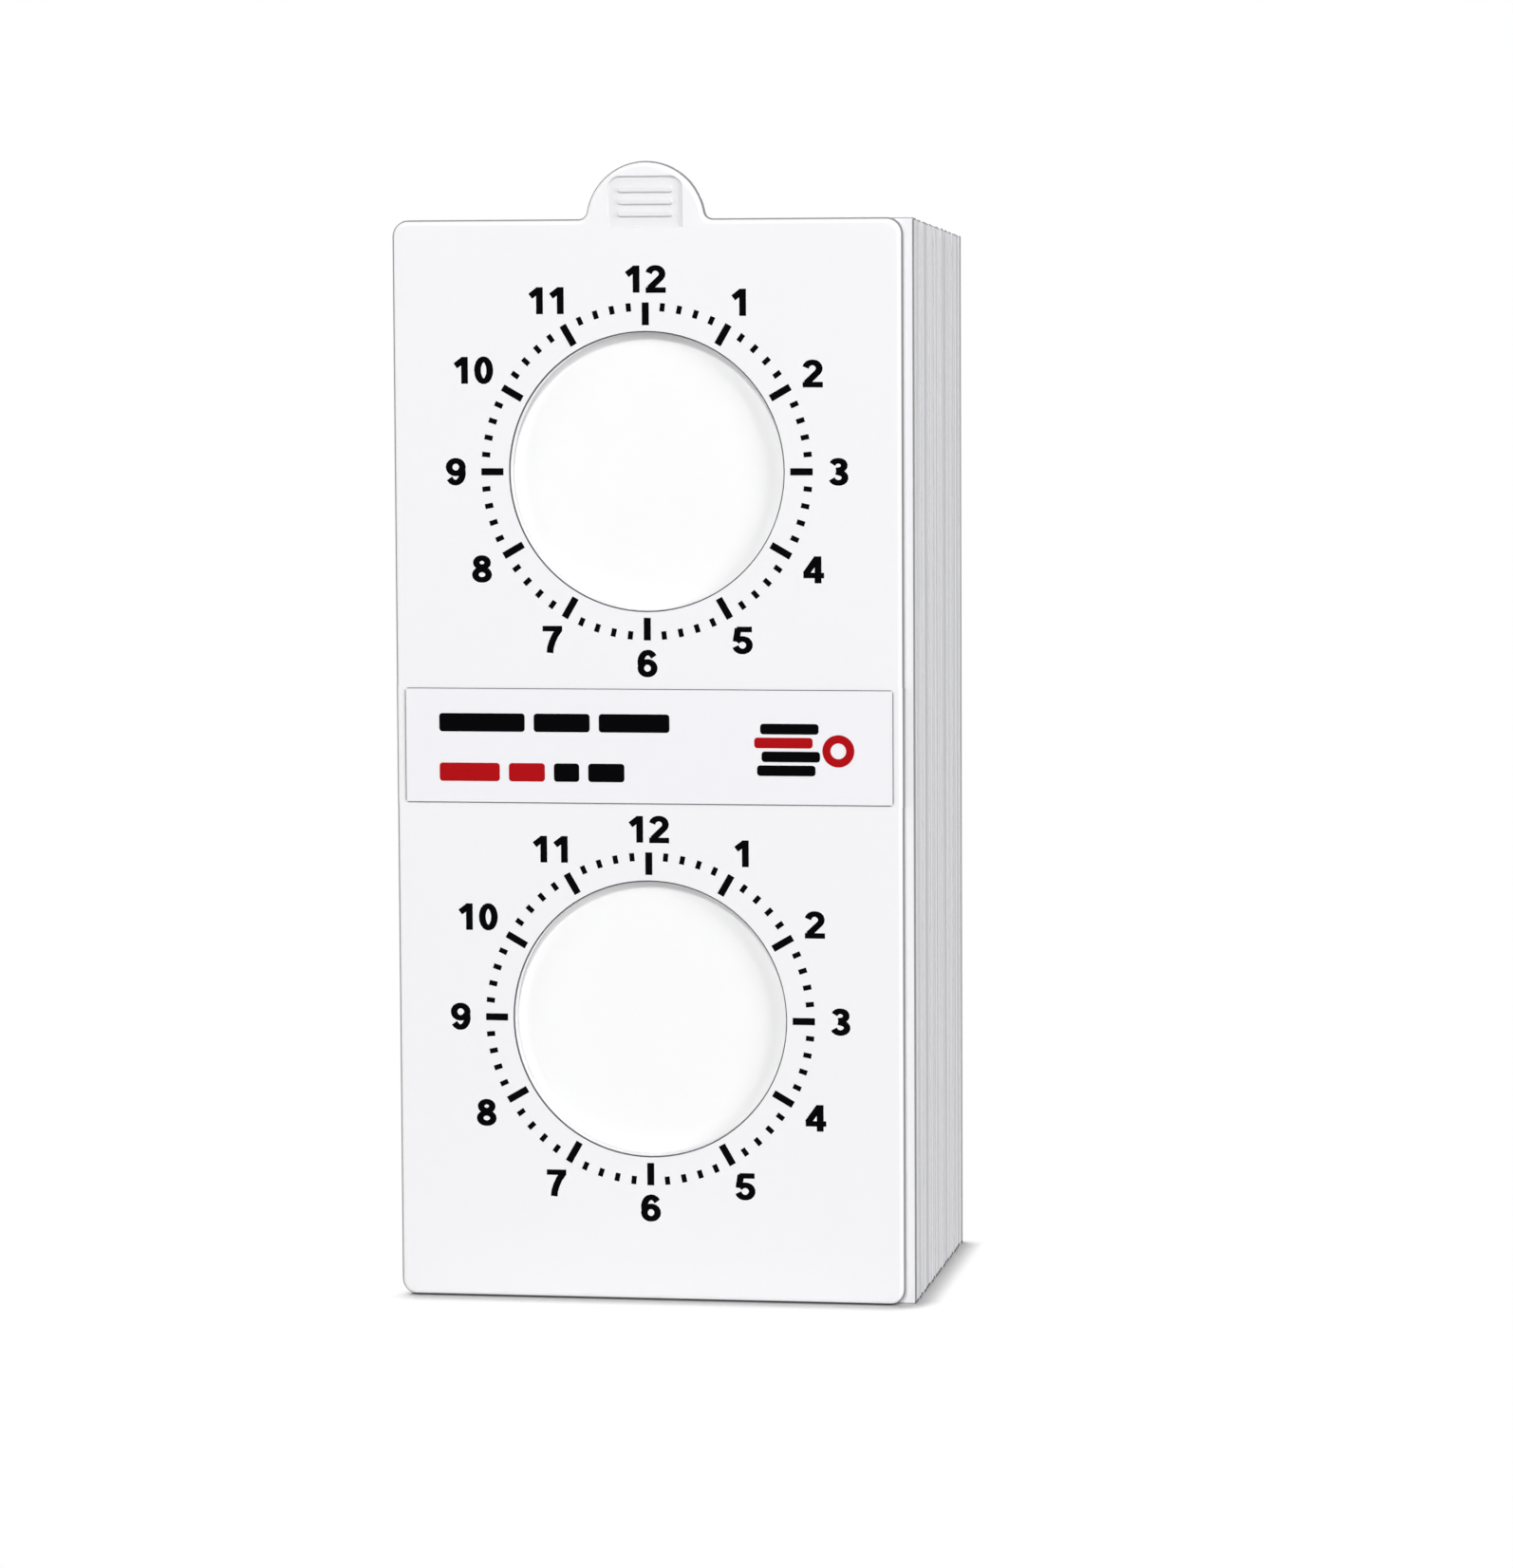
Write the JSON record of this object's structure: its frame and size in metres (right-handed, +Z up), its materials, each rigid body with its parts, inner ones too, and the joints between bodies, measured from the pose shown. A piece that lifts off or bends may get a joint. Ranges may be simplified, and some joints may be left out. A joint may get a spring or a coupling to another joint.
{
  "type": "coin holder flip pack",
  "caption": "Upright pack of white coin holder flips: a folding moulded cover flip with round windows and a finger tab, in front of a block of plain windowed card flips.",
  "frame": {"origin": "on the floor under the middle of the pack", "axes": "+X to the right seen from the front, +Y back through the block, +Z up; the front faces -Y"},
  "size_m": [0.057, 0.0368, 0.1237],
  "materials": {
    "moulded_white": "satin white moulded plastic",
    "label_paper": "smooth white label paper with a thin grey border",
    "clear_film": "clear glossy film",
    "white_card": "white coated card with grey cut edges",
    "black_ink": "black print",
    "red_ink": "red print"
  },
  "bodies": {
    "cover_lower": {"cover_lower_leaf": "moulded_white", "cover_fold_web": "moulded_white", "cover_label": "label_paper", "cover_lower_film": "clear_film"},
    "cover_upper": {"cover_upper_leaf": "moulded_white", "cover_upper_film": "clear_film"},
    "backing": {"backing_card": "white_card"},
    "flip_01": {"flip_01_card": "white_card", "flip_01_film": "clear_film"},
    "flip_02": {"flip_02_card": "white_card", "flip_02_film": "clear_film"},
    "flip_03": {"flip_03_card": "white_card", "flip_03_film": "clear_film"},
    "flip_04": {"flip_04_card": "white_card", "flip_04_film": "clear_film"},
    "flip_05": {"flip_05_card": "white_card", "flip_05_film": "clear_film"},
    "flip_06": {"flip_06_card": "white_card", "flip_06_film": "clear_film"},
    "flip_07": {"flip_07_card": "white_card", "flip_07_film": "clear_film"},
    "flip_08": {"flip_08_card": "white_card", "flip_08_film": "clear_film"},
    "flip_09": {"flip_09_card": "white_card", "flip_09_film": "clear_film"},
    "flip_10": {"flip_10_card": "white_card", "flip_10_film": "clear_film"},
    "flip_11": {"flip_11_card": "white_card", "flip_11_film": "clear_film"},
    "flip_12": {"flip_12_card": "white_card", "flip_12_film": "clear_film"},
    "flip_13": {"flip_13_card": "white_card", "flip_13_film": "clear_film"},
    "flip_14": {"flip_14_card": "white_card", "flip_14_film": "clear_film"},
    "flip_15": {"flip_15_card": "white_card", "flip_15_film": "clear_film"},
    "flip_16": {"flip_16_card": "white_card", "flip_16_film": "clear_film"},
    "flip_17": {"flip_17_card": "white_card", "flip_17_film": "clear_film"},
    "flip_18": {"flip_18_card": "white_card", "flip_18_film": "clear_film"},
    "flip_19": {"flip_19_card": "white_card", "flip_19_film": "clear_film"},
    "flip_20": {"flip_20_card": "white_card", "flip_20_film": "clear_film"}
  },
  "joints": [
    {"name": "cover_fold", "type": "hinge", "parent": "cover_lower", "child": "cover_upper", "pos_m": [0, -0.01791, 0.0606], "axis": [1, 0, 0], "range_deg": [0, 160], "deforming": ["cover_fold_web", "cover_label"]},
    {"name": "cover_slide", "type": "slide", "parent": "flip_20", "child": "cover_lower", "axis": [1, 0, 0], "range_m": [0, 0.058]},
    {"name": "backing_slide", "type": "slide", "parent": "flip_20", "child": "backing", "axis": [1, 0, 0], "range_m": [0, 0.058]},
    {"name": "flip_01_slide", "type": "slide", "parent": "flip_20", "child": "flip_01", "axis": [1, 0, 0], "range_m": [0, 0.058]},
    {"name": "flip_02_slide", "type": "slide", "parent": "flip_20", "child": "flip_02", "axis": [1, 0, 0], "range_m": [0, 0.058]},
    {"name": "flip_03_slide", "type": "slide", "parent": "flip_20", "child": "flip_03", "axis": [1, 0, 0], "range_m": [0, 0.058]},
    {"name": "flip_04_slide", "type": "slide", "parent": "flip_20", "child": "flip_04", "axis": [1, 0, 0], "range_m": [0, 0.058]},
    {"name": "flip_05_slide", "type": "slide", "parent": "flip_20", "child": "flip_05", "axis": [1, 0, 0], "range_m": [0, 0.058]},
    {"name": "flip_06_slide", "type": "slide", "parent": "flip_20", "child": "flip_06", "axis": [1, 0, 0], "range_m": [0, 0.058]},
    {"name": "flip_07_slide", "type": "slide", "parent": "flip_20", "child": "flip_07", "axis": [1, 0, 0], "range_m": [0, 0.058]},
    {"name": "flip_08_slide", "type": "slide", "parent": "flip_20", "child": "flip_08", "axis": [1, 0, 0], "range_m": [0, 0.058]},
    {"name": "flip_09_slide", "type": "slide", "parent": "flip_20", "child": "flip_09", "axis": [1, 0, 0], "range_m": [0, 0.058]},
    {"name": "flip_10_slide", "type": "slide", "parent": "flip_20", "child": "flip_10", "axis": [1, 0, 0], "range_m": [0, 0.058]},
    {"name": "flip_11_slide", "type": "slide", "parent": "flip_20", "child": "flip_11", "axis": [1, 0, 0], "range_m": [0, 0.058]},
    {"name": "flip_12_slide", "type": "slide", "parent": "flip_20", "child": "flip_12", "axis": [1, 0, 0], "range_m": [0, 0.058]},
    {"name": "flip_13_slide", "type": "slide", "parent": "flip_20", "child": "flip_13", "axis": [1, 0, 0], "range_m": [0, 0.058]},
    {"name": "flip_14_slide", "type": "slide", "parent": "flip_20", "child": "flip_14", "axis": [1, 0, 0], "range_m": [0, 0.058]},
    {"name": "flip_15_slide", "type": "slide", "parent": "flip_20", "child": "flip_15", "axis": [1, 0, 0], "range_m": [0, 0.058]},
    {"name": "flip_16_slide", "type": "slide", "parent": "flip_20", "child": "flip_16", "axis": [1, 0, 0], "range_m": [0, 0.058]},
    {"name": "flip_17_slide", "type": "slide", "parent": "flip_20", "child": "flip_17", "axis": [1, 0, 0], "range_m": [0, 0.058]},
    {"name": "flip_18_slide", "type": "slide", "parent": "flip_20", "child": "flip_18", "axis": [1, 0, 0], "range_m": [0, 0.058]},
    {"name": "flip_19_slide", "type": "slide", "parent": "flip_20", "child": "flip_19", "axis": [1, 0, 0], "range_m": [0, 0.058]}
  ]
}
